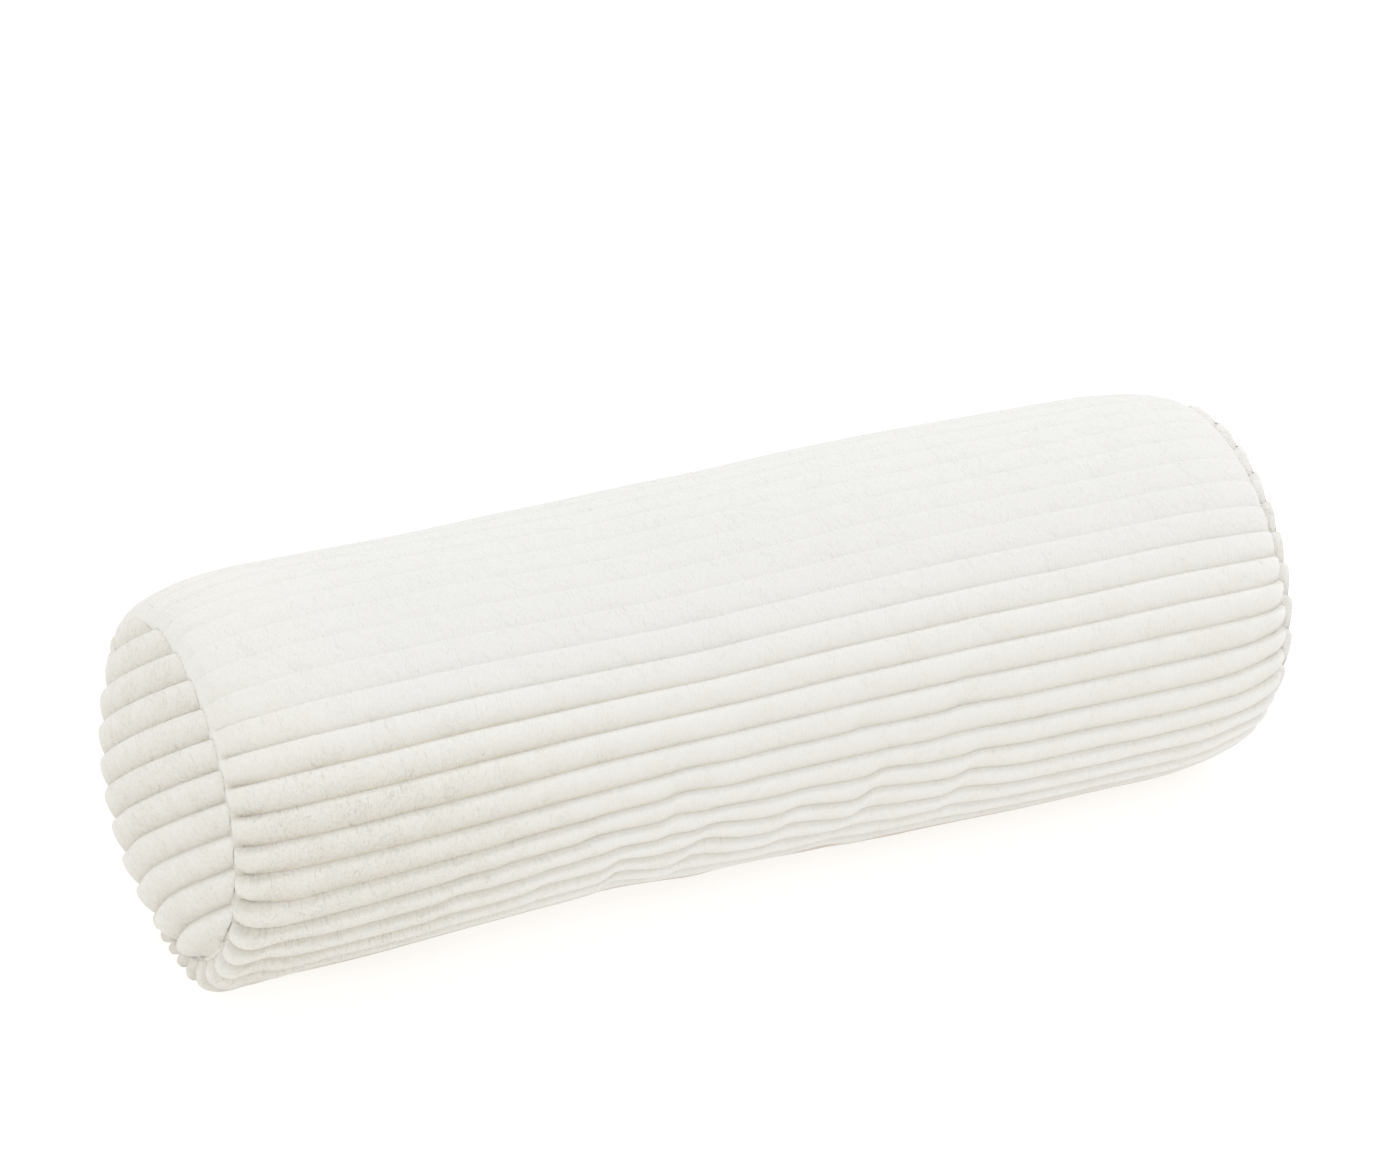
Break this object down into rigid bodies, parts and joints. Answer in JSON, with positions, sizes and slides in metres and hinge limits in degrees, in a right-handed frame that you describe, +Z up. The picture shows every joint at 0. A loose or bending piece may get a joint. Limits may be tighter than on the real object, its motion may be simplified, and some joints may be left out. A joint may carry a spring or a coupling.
{
  "type": "bolster cushion",
  "caption": "Round bolster cushion in wide-ribbed plush, with ribs along the roll, domed end panels and plain seams.",
  "frame": {"origin": "centre of the footprint on the surface that the cushion rests on", "axes": "+X along the roll towards the right end, +Z up from the surface, +Y to the back"},
  "size_m": [0.432, 0.1534, 0.139],
  "materials": {
    "ribbed_plush": "soft short plush pile, ivory white"
  },
  "bodies": {
    "root": {"roll_body": "ribbed_plush", "end_panel_left": "ribbed_plush", "end_panel_right": "ribbed_plush"}
  },
  "joints": []
}
